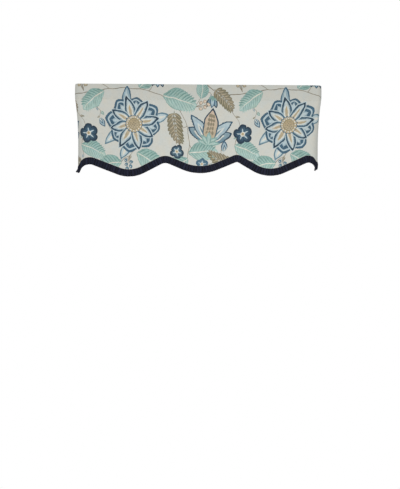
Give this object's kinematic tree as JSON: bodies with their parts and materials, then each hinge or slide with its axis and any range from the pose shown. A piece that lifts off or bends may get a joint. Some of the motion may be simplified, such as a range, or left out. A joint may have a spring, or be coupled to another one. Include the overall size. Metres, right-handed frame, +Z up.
{
  "type": "window valance",
  "caption": "Flat cloth window valance with a rod pocket heading, a return at each end and a scalloped lower edge finished with a brush fringe.",
  "frame": {"origin": "middle of the top edge of the face, on its front", "axes": "+X along the face to the viewer's right, +Y from the face back along the returns to the wall, +Z up"},
  "size_m": [1.0819, 0.1193, 0.4016],
  "materials": {
    "cloth": "matt printed furnishing cotton, ivory ground with large blue, seafoam and taupe flowers and leaves",
    "yarn": "dense very dark navy brush fringe"
  },
  "bodies": {
    "root": {"panel": "cloth", "fringe": "yarn"}
  },
  "joints": []
}
